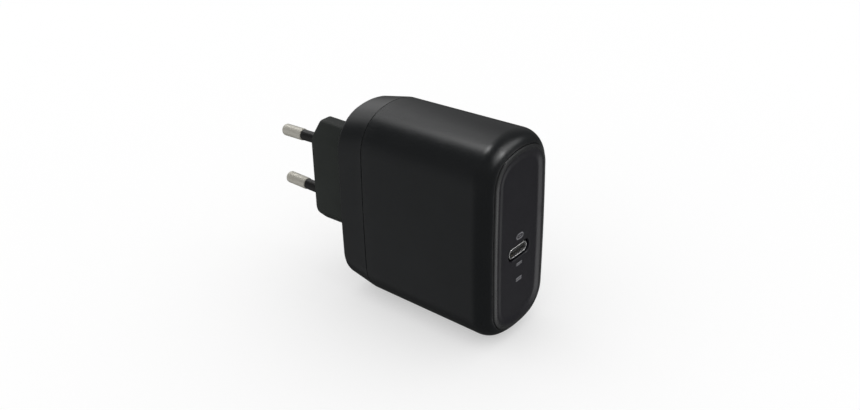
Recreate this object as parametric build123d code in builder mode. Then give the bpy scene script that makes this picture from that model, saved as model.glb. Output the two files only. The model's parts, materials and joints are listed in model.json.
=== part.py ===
from build123d import *
import os
from math import asin, atan2, cos, hypot, sin, sqrt

os.makedirs("parts", exist_ok=True)

# A two-pin wall charger with one USB-C port.
#
# Frame: the origin is midway between the pins on the face that meets the wall
# socket. +Y points into the wall, so the port faces -Y. +Z is up, and the two
# pins stand one above the other. "Depth" is measured from the socket face
# towards the port, so a point at depth d has y = -d.

# ---- pins -----------------------------------------------------------------
PIN_PITCH_FACE = 18.6      # between pin centres where they leave the plug
PIN_PITCH_TIP = 17.5       # between pin centres at their tips
PIN_LENGTH = 19.0          # from the socket face to the tip
PIN_D = 4.0                # bare contact end
PIN_TIP_R = 1.1            # rounding of the contact end
PIN_CORE_D = 2.8           # shank under the sleeve
PIN_SEAT_D = 4.4           # ribbed seat held in the plug
PIN_TAIL_D = 2.4           # tail that the contact strip grips
PIN_TAIL_L = 3.4
SLEEVE_D = 3.6
SLEEVE_L = 10.2            # insulated length outside the plug
SLEEVE_SEAT_L = 3.0        # length of the sleeve moulded into the plug

# ---- plug body ------------------------------------------------------------
PLUG_W = 35.3              # along Z
PLUG_T = 13.7              # along X
PLUG_FULL_T_W = 26.1       # stretch along Z that has the full thickness
PLUG_END_T = 4.5           # width of the flat at each narrow end
PLUG_CORNER_R = 2.0        # corners beside the end flats
PLUG_SIDE_R = 5.0          # corners beside the broad sides
PLUG_EDGE_R = 0.6
PLUG_LENGTH = 19.4         # socket face to the case
PLUG_DRAFT = 0.2           # growth on each side over that length
PLUG_BASE_T = 8.0          # solid block that holds the pins
PIN_RECESS_GAP = 0.7       # round recess in the socket face beyond each sleeve
PIN_RECESS_T = 0.5
PLUG_WALL = 1.8
FLANGE_LEDGE = 2.4
FLANGE_T = 1.8

# ---- case -----------------------------------------------------------------
CASE_W = 32.3              # across the front, before its edge is rounded
CASE_H = 64.6
CASE_DEPTH = 56.5          # rear face to front face
CASE_DROP = 0.9            # case centre below the line midway between the pins
BODY_TAPER_W = 0.7         # narrowing from the front to the seam, both sides together
BODY_TAPER_H = 1.5
COVER_LENGTH = 10.2        # rear face to the seam
COVER_TAPER_W = 0.9        # narrowing from the seam to the rear face
COVER_TAPER_H = 4.2
SIDE_R = 600.0             # the long sides are very slightly crowned
CORNER_R = 12.2
CROWN_R = 26.0             # crown of the top and of the underside
FRONT_R = 6.1
REAR_EDGE_R = 0.8
WALL = 2.0
REAR_WALL = 2.2
FRONT_WALL = 2.0
LIP_T = 1.0
LIP_L = 2.6
LIP_GAP = 0.1              # clearance round the lip
SHADOW_GAP = 0.2           # width of the groove along the seam
SHADOW_DEPTH = 0.5
FIT_GAP = 0.1              # clearance round pieces that drop into an opening

# ---- front panel and port ---------------------------------------------------
PANEL_INSET = 3.5          # case outline to the panel
PANEL_GAP = 0.12
PANEL_T = 1.7              # thickness at its raised rim
RIM_W = 1.4
RIM_EDGE_R = 0.5
DISH_DEPTH = 0.4
DISH_COVE_W = 2.4
PORT_Z = -4.7
PORT_CUT_W = 10.5          # opening in the panel
PORT_CUT_H = 4.5
USB_SHELL_W = 8.94
USB_SHELL_H = 3.2
USB_SHELL_T = 0.3
USB_SHELL_L = 7.3
USB_SETBACK = 0.35         # shell lip behind the floor of the dish
USB_TONGUE_W = 6.69
USB_TONGUE_T = 0.7
USB_TONGUE_L = 4.45
USB_TONGUE_SETBACK = 0.75  # tongue end behind the shell lip
USB_CONTACT_PITCH = 0.5
USB_CONTACT_W = 0.3
USB_CONTACT_T = 0.06
USB_CONTACT_L = 3.4
USB_CONTACTS = 12          # in each of two rows

# ---- electronics ------------------------------------------------------------
BOARD_T = 1.6
BOARD_BACK_GAP = 3.1       # board to the inside of the case wall
BOARD_EDGE_GAP = 7.2       # board edge to the inside of the crown
BOARD_FRONT_GAP = 1.9      # board to the inside of the front wall
BOARD_REAR_GAP = 1.6       # board to the plug flange
BOARD_CORNER_R = 1.5
RAIL_GRIP = 1.6            # how far a rail reaches over the board
RAIL_W = 3.2
RAIL_LIP = 1.0             # rail beyond the board's face
RAIL_SLOT_GAP = 0.1
SPREADER_T = 0.8
SPREADER_GAP = 0.8         # spreader to the inside of the case wall
SPREADER_L = 34.0
SPREADER_H = 30.0
SPREADER_FRONT_GAP = 1.0   # spreader to the usb board
PAD_T = 1.2
USB_BOARD_T = 1.2
USB_BOARD_H = 20.0
USB_BOARD_REACH = 6.0      # usb board past the port centre, away from the main board
CAN_EDGE_GAP = 3.2         # mains capacitor to the edge of the board
CAN_HEAD_GAP = 1.4         # mains capacitor to the spreader
CAN_REAR_GAP = 4.3         # rear mains capacitor to the contact strips
CAN_GAP = 0.9              # between the two mains capacitors
CAN_FRONT_GAP = 2.95       # front mains capacitor to the output capacitors
CAN_EDGE_R = 0.8
OUTPUT_CAN_D = 6.3
OUTPUT_CAN_H = 11.0
OUTPUT_CAN_PITCH = 7.2
OUTPUT_CAN_FROM_USB = 3.0  # output cans to the usb board
CORE_ROW_SHARE = 0.427     # part of the row on the board that the core takes
CORE_PLATE_T = 3.2
CORE_LEG_T = 2.5
CORE_POST_SHARE = 0.48     # post's radius against the bobbin's
BOBBIN_GAP = 0.2
BOBBIN_OVERHANG = 0.3      # bobbin rim past the core's plates
BOBBIN_T = 0.8
WINDING_GAP = 0.5          # winding to the rim of the bobbin
CORE_EDGE_GAP = 2.0        # core to the lower edge of the board
CORE_FROM_USB = 4.2        # core to the usb board
CORE_CAN_GAP = 7.5         # core to the mains capacitors
CHOKE_HOLE_SHARE = 0.485   # hole of the ring against its outside
CHOKE_H = 5.0
CHOKE_WIRE_T = 0.8
CHOKE_ARC = 130.0
CHOKE_GAP = 1.0            # choke to the transformer core
CHOKE_REAR_GAP = 1.5       # choke to the contact strips
CHOKE_LIFT = 0.3           # choke above the board
X_CAP_W = 5.6
X_CAP_H = 11.0
X_CAP_GAP = 1.0            # box capacitor to the fuse and to the barrier sheet
FUSE_D = 5.0
FUSE_H = 8.0
FUSE_REAR_GAP = 1.5        # fuse to the rear edge of the board
Y_CAP_D = 7.0
Y_CAP_T = 2.6
Y_CAP_LIFT = 0.8
BARRIER_T = 0.4
BARRIER_OVERHANG = 1.0     # barrier sheet past the transformer core
STRIP_T = 0.4              # mains contact strips
STRIP_W = 3.6
STRIP_FOOT = 3.4
STRIP_OFFSET = 3.6         # strip to the pin axis
STRIP_HEEL = 2.4           # strip beyond the pin axis on its short side
STRIP_FROM_BASE = 1.2      # strip to the solid block of the plug
STRIP_EDGE_GAP = 0.8       # foot to the rear edge of the board
CHIP_TAPER = 5             # draft of the moulded chips, in degrees
CONTROLLER_W = 4.0
CONTROLLER_T = 0.9
# name: (depth from the board's middle, z from the board's middle, length, width, height)
CHIPS = {
    "bridge_rectifier": (-12.0, 13.0, 6.4, 8.0, 1.6),
    "power_switch": (-4.0, -3.0, 8.0, 8.0, 0.9),
    "optocoupler": (8.0, 4.0, 7.0, 4.4, 2.0),
    "output_rectifier": (13.0, -10.0, 5.0, 6.0, 1.0),
}

# ---- places that follow from the sizes ------------------------------------
REAR = PLUG_LENGTH
SEAM = REAR + COVER_LENGTH
FRONT = REAR + CASE_DEPTH
POCKET = FRONT - PANEL_T                   # floor of the panel's pocket
INNER_FRONT = POCKET - FRONT_WALL
INNER_REAR = REAR + REAR_WALL
FLANGE_END = INNER_REAR + FLANGE_T
DISH_FLOOR = FRONT - DISH_DEPTH
USB_LIP = DISH_FLOOR - USB_SETBACK
USB_BACK = USB_LIP - USB_SHELL_L
PIN_TILT = asin((PIN_PITCH_FACE - PIN_PITCH_TIP) / 2 / PIN_LENGTH)


def half_size(depth):
    """Half width and half height of the case at a depth between rear and front."""
    if depth >= SEAM:
        share = (FRONT - depth) / (FRONT - SEAM)
        width = CASE_W - BODY_TAPER_W * share
        height = CASE_H - BODY_TAPER_H * share
    else:
        share = (SEAM - depth) / COVER_LENGTH
        width = CASE_W - BODY_TAPER_W - COVER_TAPER_W * share
        height = CASE_H - BODY_TAPER_H - COVER_TAPER_H * share
    return width / 2, height / 2


INNER_HALF_W = half_size(SEAM)[0] - WALL
INNER_HALF_H = half_size(SEAM)[1] - WALL
BOARD_BACK_X = INNER_HALF_W - BOARD_BACK_GAP
BOARD_X = BOARD_BACK_X - BOARD_T           # face that carries the tall parts
BOARD_HALF_H = INNER_HALF_H - BOARD_EDGE_GAP
BOARD_FRONT = INNER_FRONT - BOARD_FRONT_GAP
BOARD_REAR = FLANGE_END + BOARD_REAR_GAP
SPREADER_X = -INNER_HALF_W + SPREADER_GAP  # outer face of the heat spreader
STACK_TOP_X = SPREADER_X + SPREADER_T + PAD_T
STACK_H = BOARD_X - STACK_TOP_X            # board face to the thermal pad
USB_BOARD_DEPTH = USB_BACK - USB_BOARD_T

# Two rows of parts stand on the board, between the strips' feet and the usb board.
FOOT_DEPTH = BOARD_REAR + STRIP_EDGE_GAP
FOOT_END = FOOT_DEPTH + STRIP_FOOT
ROW_L = USB_BOARD_DEPTH - FOOT_END
OUTPUT_DEPTH = USB_BOARD_DEPTH - OUTPUT_CAN_FROM_USB - OUTPUT_CAN_D / 2
CAN_ROOM = OUTPUT_DEPTH - OUTPUT_CAN_D / 2 - CAN_FRONT_GAP - FOOT_END - CAN_REAR_GAP
CAN_D = (CAN_ROOM - CAN_GAP) / 2
CAN_PITCH = CAN_D + CAN_GAP
CAN_SPAN = max(CAN_D, OUTPUT_CAN_PITCH + OUTPUT_CAN_D + BARRIER_T - CORE_CAN_GAP / 2)
CAN_DEPTH = FOOT_END + CAN_REAR_GAP + CAN_D / 2
CAN_Z = -CASE_DROP + BOARD_HALF_H - CAN_EDGE_GAP - CAN_D / 2
CAN_H = BOARD_X - SPREADER_X - SPREADER_T - CAN_HEAD_GAP
CORE_L = CORE_ROW_SHARE * ROW_L
CORE_W = 2 * BOARD_HALF_H - CORE_EDGE_GAP - CAN_EDGE_GAP - CAN_SPAN - CORE_CAN_GAP
BOBBIN_R = min(CORE_W / 2 - CORE_LEG_T - BOBBIN_GAP, CORE_L / 2 + BOBBIN_OVERHANG)
CORE_POST_R = CORE_POST_SHARE * BOBBIN_R
CORE_DEPTH = USB_BOARD_DEPTH - CORE_FROM_USB - CORE_L / 2
CORE_REAR = CORE_DEPTH - CORE_L / 2
CORE_Z = -CASE_DROP - BOARD_HALF_H + CORE_EDGE_GAP + CORE_W / 2
CHOKE_ROOM = CORE_REAR - CHOKE_GAP - FOOT_END - CHOKE_REAR_GAP
CHOKE_R = CHOKE_ROOM / 2 - CHOKE_WIRE_T
CHOKE_HOLE_R = CHOKE_HOLE_SHARE * CHOKE_R
CHOKE_DEPTH = CORE_REAR - CHOKE_GAP - CHOKE_ROOM / 2
BARRIER_REAR = CORE_REAR - BARRIER_OVERHANG
BARRIER_Z = CORE_Z + CORE_W / 2 + CORE_CAN_GAP / 2
FUSE_END = BOARD_REAR + FUSE_REAR_GAP + FUSE_D


def case_plane(depth):
    """Plane across the case at a depth: its x is +X, its y is +Z, its normal -Y."""
    return Plane(origin=(0, -depth, -CASE_DROP), x_dir=(1, 0, 0), z_dir=(0, -1, 0))


def case_section(depth, inset=0.0, place=None):
    """Case outline of a depth as a flat section: eight tangent arcs, moved in by inset.

    Two side arcs and two crown arcs are joined by corner arcs. The corner's
    centre lies SIDE_R - CORNER_R from the side's centre and CROWN_R - CORNER_R
    from the crown's. place is the depth of the section's plane, if it differs.
    """
    half_w, half_h = half_size(depth)
    side_x = half_w - SIDE_R
    crown_z = half_h - CROWN_R
    reach_side = SIDE_R - CORNER_R
    reach_crown = CROWN_R - CORNER_R
    span = hypot(side_x, crown_z)
    along = (reach_side**2 - reach_crown**2 + span**2) / (2 * span)
    across = sqrt(reach_side**2 - along**2)
    turn = atan2(crown_z, -side_x) + atan2(across, along)
    centre_x = side_x + reach_side * cos(turn)
    centre_z = reach_side * sin(turn)
    low = atan2(centre_z, centre_x - side_x)
    high = atan2(centre_z - crown_z, centre_x)

    def corner_point(angle):
        radius = CORNER_R - inset
        return centre_x + radius * cos(angle), centre_z + radius * sin(angle)

    start, bend, end = (corner_point(a) for a in (low, (low + high) / 2, high))
    with BuildSketch(case_plane(depth if place is None else place)) as section:
        with BuildLine():
            for side in (1, -1):
                ThreePointArc(
                    (side * start[0], -start[1]),
                    (side * (half_w - inset), 0),
                    (side * start[0], start[1]),
                )
                ThreePointArc(
                    (-end[0], side * end[1]),
                    (0, side * (half_h - inset)),
                    (end[0], side * end[1]),
                )
                for rise in (1, -1):
                    ThreePointArc(
                        (side * start[0], rise * start[1]),
                        (side * bend[0], rise * bend[1]),
                        (side * end[0], rise * end[1]),
                    )
        make_face()
    return section.sketch


def plug_section(depth, grow=0.0):
    """Plug outline at a depth: a long hexagon with small end flats and round corners."""
    thick, full = PLUG_T / 2, PLUG_FULL_T_W / 2
    tip, wide = PLUG_END_T / 2, PLUG_W / 2
    corners = [(thick, full), (tip, wide), (-tip, wide), (-thick, full)]
    corners += [(-x, -z) for x, z in corners]
    with BuildSketch(Plane.XZ.offset(depth)) as section:
        with BuildLine():
            Polyline(*corners, close=True)
        make_face()
        broad = section.vertices().filter_by(lambda corner: abs(corner.X) > PLUG_END_T)
        fillet(broad, PLUG_SIDE_R)
        narrow = section.vertices().group_by(Axis.Y)
        fillet(narrow[0] + narrow[-1], PLUG_CORNER_R)
        if grow:
            offset(amount=grow, mode=Mode.REPLACE)
    return section.sketch


def pin_plane(side, out):
    """Plane across a pin's axis, out from the socket face. side is 1 up, -1 down."""
    return Plane(
        origin=(0, out * cos(PIN_TILT), side * (PIN_PITCH_FACE / 2 - out * sin(PIN_TILT))),
        x_dir=(1, 0, 0),
        z_dir=(0, cos(PIN_TILT), -side * sin(PIN_TILT)),
    )


def rod(side, start, end, radius):
    """Round stretch of a pin's axis between two distances from the socket face."""
    with BuildPart() as stretch:
        with BuildSketch(pin_plane(side, start)):
            Circle(radius)
        extrude(amount=end - start)
    return stretch.part


def finish(builder, name):
    """Label the piece and write it to its own file."""
    builder.part.label = name
    export_step(builder.part, f"parts/{name}.step")


# ---- pins and their sleeves -------------------------------------------------
PIN_SIDES = {"upper": 1, "lower": -1}

for name, side in PIN_SIDES.items():
    with BuildPart() as pin:
        add(rod(side, SLEEVE_L, PIN_LENGTH, PIN_D / 2))
        fillet(pin.edges().sort_by(Axis.Y)[-1], PIN_TIP_R)
        add(rod(side, -SLEEVE_SEAT_L, SLEEVE_L, PIN_CORE_D / 2))
        add(rod(side, -PLUG_BASE_T, -SLEEVE_SEAT_L, PIN_SEAT_D / 2))
        add(rod(side, -PLUG_BASE_T - PIN_TAIL_L, -PLUG_BASE_T, PIN_TAIL_D / 2))
    finish(pin, f"{name}_pin")
    with BuildPart() as sleeve:
        add(rod(side, -SLEEVE_SEAT_L, SLEEVE_L, SLEEVE_D / 2))
        add(rod(side, -SLEEVE_SEAT_L, SLEEVE_L, PIN_CORE_D / 2), mode=Mode.SUBTRACT)
    finish(sleeve, f"{name}_pin_sleeve")

# ---- plug body: moulded round the pins, hollow behind them -------------------
with BuildPart() as plug_body:
    loft([plug_section(0), plug_section(INNER_REAR, PLUG_DRAFT)])
    fillet(plug_body.faces().sort_by(Axis.Y)[-1].edges(), PLUG_EDGE_R)
    extrude(plug_section(INNER_REAR, FLANGE_LEDGE), amount=FLANGE_T)
    extrude(
        plug_section(PLUG_BASE_T, -PLUG_WALL),
        amount=FLANGE_END - PLUG_BASE_T,
        mode=Mode.SUBTRACT,
    )
    with BuildSketch(Plane.XZ):
        with GridLocations(1, PIN_PITCH_FACE, 1, 2):
            Circle(SLEEVE_D / 2 + PIN_RECESS_GAP)
    extrude(amount=PIN_RECESS_T, mode=Mode.SUBTRACT)
    for side in PIN_SIDES.values():
        add(rod(side, -SLEEVE_SEAT_L, 1, SLEEVE_D / 2), mode=Mode.SUBTRACT)
        add(rod(side, -PLUG_BASE_T - 1, -SLEEVE_SEAT_L, PIN_SEAT_D / 2), mode=Mode.SUBTRACT)
finish(plug_body, "plug_body")

# ---- rear cover: shallow cap with a lip that enters the main housing ----------
with BuildPart() as rear_cover:
    loft([case_section(REAR), case_section(SEAM)])
    fillet(rear_cover.faces().sort_by(Axis.Y)[-1].edges(), REAR_EDGE_R)
    extrude(case_section(SEAM), amount=-SHADOW_GAP, mode=Mode.SUBTRACT)
    extrude(case_section(SEAM, SHADOW_DEPTH, place=SEAM - SHADOW_GAP), amount=SHADOW_GAP)
    extrude(case_section(SEAM, WALL - LIP_T), amount=LIP_L)
    loft([case_section(INNER_REAR, WALL), case_section(SEAM, WALL)], mode=Mode.SUBTRACT)
    extrude(case_section(SEAM, WALL), amount=LIP_L, mode=Mode.SUBTRACT)
    extrude(plug_section(REAR, PLUG_DRAFT + FIT_GAP), amount=REAR_WALL, mode=Mode.SUBTRACT)
finish(rear_cover, "rear_cover")

# ---- main housing: deep shell with a large front rounding ---------------------
with BuildPart() as main_housing:
    loft([case_section(SEAM), case_section(FRONT)])
    fillet(main_housing.faces().sort_by(Axis.Y)[0].edges(), FRONT_R)
    loft([case_section(SEAM, WALL), case_section(INNER_FRONT, WALL)], mode=Mode.SUBTRACT)
    extrude(
        case_section(SEAM, WALL - LIP_T - LIP_GAP),
        amount=LIP_L + LIP_GAP,
        mode=Mode.SUBTRACT,
    )
    extrude(
        case_section(FRONT, PANEL_INSET, place=POCKET),
        amount=PANEL_T,
        mode=Mode.SUBTRACT,
    )
    with BuildSketch(Plane.XZ.offset(INNER_FRONT)):
        with Locations((0, PORT_Z)):
            SlotOverall(USB_SHELL_W + 2 * FIT_GAP, USB_SHELL_H + 2 * FIT_GAP)
    extrude(amount=FRONT_WALL, mode=Mode.SUBTRACT)
    rail_start = SEAM + LIP_L + RAIL_LIP
    rail_z = BOARD_HALF_H - RAIL_GRIP + RAIL_W / 2
    rail_x = BOARD_X - RAIL_SLOT_GAP - RAIL_LIP
    with BuildSketch(case_plane(rail_start)):
        with Locations(
            ((rail_x + INNER_HALF_W) / 2, rail_z),
            ((rail_x + INNER_HALF_W) / 2, -rail_z),
        ):
            Rectangle(INNER_HALF_W - rail_x, RAIL_W)
    extrude(amount=INNER_FRONT - rail_start)
    with BuildSketch(case_plane(rail_start)):
        with Locations((BOARD_X + BOARD_T / 2, 0)):
            Rectangle(BOARD_T + 2 * RAIL_SLOT_GAP, 2 * (BOARD_HALF_H + RAIL_SLOT_GAP))
    extrude(amount=BOARD_FRONT + RAIL_SLOT_GAP - rail_start, mode=Mode.SUBTRACT)
finish(main_housing, "main_housing")

# ---- front panel: rim round a shallow dish, with the port opening ------------
with BuildPart() as front_panel:
    extrude(case_section(FRONT, PANEL_INSET + PANEL_GAP, place=POCKET), amount=PANEL_T)
    fillet(front_panel.faces().sort_by(Axis.Y)[0].edges(), RIM_EDGE_R)
    dish = PANEL_INSET + PANEL_GAP + RIM_W
    loft(
        [case_section(FRONT, dish), case_section(FRONT, dish + DISH_COVE_W, DISH_FLOOR)],
        mode=Mode.SUBTRACT,
    )
    with BuildSketch(Plane.XZ.offset(POCKET)):
        with Locations((0, PORT_Z)):
            SlotOverall(PORT_CUT_W, PORT_CUT_H)
    extrude(amount=PANEL_T, mode=Mode.SUBTRACT)
finish(front_panel, "front_panel")

# ---- USB-C receptacle: shell, tongue and contacts ------------------------------
with BuildPart() as usb_shell:
    with BuildSketch(Plane.XZ.offset(USB_BACK)):
        with Locations((0, PORT_Z)):
            SlotOverall(USB_SHELL_W, USB_SHELL_H)
    extrude(amount=USB_SHELL_L)
    with BuildSketch(Plane.XZ.offset(USB_BACK + USB_SHELL_T)):
        with Locations((0, PORT_Z)):
            SlotOverall(USB_SHELL_W - 2 * USB_SHELL_T, USB_SHELL_H - 2 * USB_SHELL_T)
    extrude(amount=USB_SHELL_L - USB_SHELL_T, mode=Mode.SUBTRACT)
finish(usb_shell, "usb_shell")

TONGUE_END = USB_LIP - USB_TONGUE_SETBACK
TONGUE_ROOT = TONGUE_END - USB_TONGUE_L

with BuildPart() as usb_tongue:
    with BuildSketch(Plane.XZ.offset(USB_BACK + USB_SHELL_T)):
        with Locations((0, PORT_Z)):
            SlotOverall(USB_SHELL_W - 2 * USB_SHELL_T, USB_SHELL_H - 2 * USB_SHELL_T)
    extrude(amount=TONGUE_ROOT - USB_BACK - USB_SHELL_T)
    with BuildSketch(Plane.XZ.offset(TONGUE_ROOT)):
        with Locations((0, PORT_Z)):
            Rectangle(USB_TONGUE_W, USB_TONGUE_T)
    extrude(amount=USB_TONGUE_L)
    tongue_end = usb_tongue.faces().sort_by(Axis.Y)[0]
    fillet(tongue_end.edges().filter_by(Axis.X), USB_TONGUE_T / 4)
finish(usb_tongue, "usb_tongue")

with BuildPart() as usb_contacts:
    contact_z = (USB_TONGUE_T + USB_CONTACT_T) / 2
    with BuildSketch(Plane.XZ.offset(TONGUE_ROOT)):
        for side in (1, -1):
            with Locations((0, PORT_Z + side * contact_z)):
                with GridLocations(USB_CONTACT_PITCH, 1, USB_CONTACTS, 1):
                    Rectangle(USB_CONTACT_W, USB_CONTACT_T)
    extrude(amount=USB_CONTACT_L)
finish(usb_contacts, "usb_contacts")

# ---- circuit boards ------------------------------------------------------------
with BuildPart() as main_board:
    with BuildSketch(Plane.YZ.offset(BOARD_X)):
        with Locations((-(BOARD_REAR + BOARD_FRONT) / 2, -CASE_DROP)):
            RectangleRounded(BOARD_FRONT - BOARD_REAR, 2 * BOARD_HALF_H, BOARD_CORNER_R)
    extrude(amount=BOARD_T)
finish(main_board, "main_board")

with BuildPart() as usb_board:
    with BuildSketch(Plane.XZ.offset(USB_BOARD_DEPTH)):
        with Locations(((BOARD_X - USB_BOARD_REACH) / 2, PORT_Z)):
            Rectangle(BOARD_X + USB_BOARD_REACH, USB_BOARD_H)
    extrude(amount=USB_BOARD_T)
finish(usb_board, "usb_board")

# ---- mains contact strips: bent strip from each pin's tail to the board --------
STRIP_DEPTH = PLUG_BASE_T + STRIP_FROM_BASE

for name, side in {"line_contact": 1, "neutral_contact": -1}.items():
    strip_z = pin_plane(side, -STRIP_DEPTH).origin.Z
    legs = (
        (-STRIP_HEEL, STRIP_OFFSET + STRIP_T, STRIP_DEPTH, STRIP_DEPTH + STRIP_T),
        (STRIP_OFFSET, STRIP_OFFSET + STRIP_T, STRIP_DEPTH, FOOT_DEPTH + STRIP_T),
        (STRIP_OFFSET, BOARD_X, FOOT_DEPTH, FOOT_DEPTH + STRIP_T),
        (BOARD_X - STRIP_T, BOARD_X, FOOT_DEPTH, FOOT_DEPTH + STRIP_FOOT),
    )
    with BuildPart() as strip:
        with BuildSketch(Plane.XY.offset(strip_z - STRIP_W / 2)):
            for left, right, near, far in legs:
                with Locations(((left + right) / 2, -(near + far) / 2)):
                    Rectangle(right - left, far - near)
        extrude(amount=STRIP_W)
        add(
            rod(side, -STRIP_DEPTH - 1, -STRIP_DEPTH + 1, PIN_TAIL_D / 2),
            mode=Mode.SUBTRACT,
        )
    finish(strip, name)

# ---- transformer: two core halves, bobbin and winding ---------------------------
CORE_AT = (-CORE_DEPTH, CORE_Z)
BOBBIN_LOW = STACK_TOP_X + CORE_PLATE_T + BOBBIN_GAP
BOBBIN_HIGH = BOARD_X - CORE_PLATE_T - BOBBIN_GAP
BOBBIN_TUBE_R = CORE_POST_R + BOBBIN_GAP + BOBBIN_T

for name, face_x, inward in (("inner", BOARD_X, -1), ("outer", STACK_TOP_X, 1)):
    with BuildPart() as core_half:
        with BuildSketch(Plane.YZ.offset(face_x)):
            with Locations(CORE_AT):
                Rectangle(CORE_L, CORE_W)
        extrude(amount=inward * CORE_PLATE_T)
        with BuildSketch(Plane.YZ.offset(face_x + inward * CORE_PLATE_T)):
            with Locations(CORE_AT):
                Circle(CORE_POST_R)
                with GridLocations(1, CORE_W - CORE_LEG_T, 1, 2):
                    Rectangle(CORE_L, CORE_LEG_T)
        extrude(amount=inward * (STACK_H / 2 - CORE_PLATE_T))
    finish(core_half, f"transformer_core_{name}")

with BuildPart() as bobbin:
    with BuildSketch(Plane.YZ.offset(BOBBIN_LOW)):
        with Locations(CORE_AT):
            Circle(BOBBIN_R)
    extrude(amount=BOBBIN_T)
    with BuildSketch(Plane.YZ.offset(BOBBIN_HIGH)):
        with Locations(CORE_AT):
            Circle(BOBBIN_R)
    extrude(amount=-BOBBIN_T)
    with BuildSketch(Plane.YZ.offset(BOBBIN_LOW)):
        with Locations(CORE_AT):
            Circle(BOBBIN_TUBE_R)
    extrude(amount=BOBBIN_HIGH - BOBBIN_LOW)
    with BuildSketch(Plane.YZ.offset(BOBBIN_LOW)):
        with Locations(CORE_AT):
            Circle(CORE_POST_R + BOBBIN_GAP)
    extrude(amount=BOBBIN_HIGH - BOBBIN_LOW, mode=Mode.SUBTRACT)
finish(bobbin, "transformer_bobbin")

with BuildPart() as winding:
    with BuildSketch(Plane.YZ.offset(BOBBIN_LOW + BOBBIN_T)):
        with Locations(CORE_AT):
            Circle(BOBBIN_R - WINDING_GAP)
            Circle(BOBBIN_TUBE_R, mode=Mode.SUBTRACT)
    extrude(amount=BOBBIN_HIGH - BOBBIN_LOW - 2 * BOBBIN_T)
finish(winding, "transformer_winding")

# ---- mains choke: ring core with two wound stretches -----------------------------
CHOKE_Z = CORE_Z
CHOKE_TOP_X = BOARD_X - CHOKE_LIFT - CHOKE_WIRE_T
choke_axis = Axis((0, -CHOKE_DEPTH, CHOKE_Z), (1, 0, 0))

with BuildPart() as choke_core:
    with BuildSketch(Plane.YZ.offset(CHOKE_TOP_X)):
        with Locations((-CHOKE_DEPTH, CHOKE_Z)):
            Circle(CHOKE_R)
            Circle(CHOKE_HOLE_R, mode=Mode.SUBTRACT)
    extrude(amount=-CHOKE_H)
finish(choke_core, "choke_core")

with BuildPart() as choke_winding:
    ring_w = CHOKE_R - CHOKE_HOLE_R
    ring_mid = (CHOKE_R + CHOKE_HOLE_R) / 2
    for side in (1, -1):
        with BuildSketch(Plane.XY.offset(CHOKE_Z)):
            with Locations((CHOKE_TOP_X - CHOKE_H / 2, -CHOKE_DEPTH + side * ring_mid)):
                Rectangle(CHOKE_H + 2 * CHOKE_WIRE_T, ring_w + 2 * CHOKE_WIRE_T)
                Rectangle(CHOKE_H, ring_w, mode=Mode.SUBTRACT)
        revolve(axis=choke_axis, revolution_arc=CHOKE_ARC)
finish(choke_winding, "choke_winding")

# ---- upright parts on the face of the main board ---------------------------------
def upright_can(depth, z, diameter, height, edge_r):
    """Can that stands on the face of the main board, with a rounded free end."""
    with BuildPart() as can:
        with BuildSketch(Plane.YZ.offset(BOARD_X)):
            with Locations((-depth, z)):
                Circle(diameter / 2)
        extrude(amount=-height)
        fillet(can.edges().sort_by(Axis.X)[0], edge_r)
    return can


for name, step in {"mains_capacitor_rear": 0, "mains_capacitor_front": 1}.items():
    finish(upright_can(CAN_DEPTH + step * CAN_PITCH, CAN_Z, CAN_D, CAN_H, CAN_EDGE_R), name)

output_z = CAN_Z + (CAN_D - OUTPUT_CAN_D) / 2
for name, step in {"output_capacitor_upper": 0, "output_capacitor_lower": 1}.items():
    z = output_z - step * OUTPUT_CAN_PITCH
    finish(upright_can(OUTPUT_DEPTH, z, OUTPUT_CAN_D, OUTPUT_CAN_H, CAN_EDGE_R / 2), name)

finish(upright_can(FUSE_END - FUSE_D / 2, 0, FUSE_D, FUSE_H, CAN_EDGE_R / 2), "fuse")

with BuildPart() as x_capacitor:
    x_cap_l = BARRIER_REAR - FUSE_END - 2 * X_CAP_GAP
    with BuildSketch(Plane.YZ.offset(BOARD_X)):
        with Locations((-(BARRIER_REAR + FUSE_END) / 2, BARRIER_Z)):
            RectangleRounded(x_cap_l, X_CAP_W, CAN_EDGE_R / 2)
    extrude(amount=-X_CAP_H)
finish(x_capacitor, "x_capacitor")

with BuildPart() as y_capacitor:
    with BuildSketch(Plane.XZ.offset(USB_BOARD_DEPTH - (CORE_FROM_USB + Y_CAP_T) / 2)):
        with Locations((BOARD_X - Y_CAP_LIFT - Y_CAP_D / 2, CORE_Z)):
            Circle(Y_CAP_D / 2)
    extrude(amount=Y_CAP_T)
    fillet(y_capacitor.edges(), Y_CAP_T / 4)
finish(y_capacitor, "y_capacitor")

with BuildPart() as barrier_sheet:
    with BuildSketch(Plane.YZ.offset(BOARD_X)):
        with Locations((-CORE_DEPTH, BARRIER_Z)):
            Rectangle(CORE_L + 2 * BARRIER_OVERHANG, BARRIER_T)
    extrude(amount=-STACK_H)
finish(barrier_sheet, "barrier_sheet")

# ---- chips on the back of the main board and on the usb board ---------------------
board_middle = (BOARD_REAR + BOARD_FRONT) / 2

for name, (ahead, rise, length, width, height) in CHIPS.items():
    with BuildPart() as chip:
        with BuildSketch(Plane.YZ.offset(BOARD_BACK_X)):
            with Locations((-board_middle - ahead, rise - CASE_DROP)):
                Rectangle(length, width)
        extrude(amount=height, taper=CHIP_TAPER)
    finish(chip, name)

with BuildPart() as port_controller:
    with BuildSketch(Plane.XZ.offset(USB_BOARD_DEPTH)):
        with Locations((0, PORT_Z + USB_BOARD_H / 4)):
            Rectangle(CONTROLLER_W, CONTROLLER_W)
    extrude(amount=-CONTROLLER_T)
finish(port_controller, "port_controller")

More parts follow.
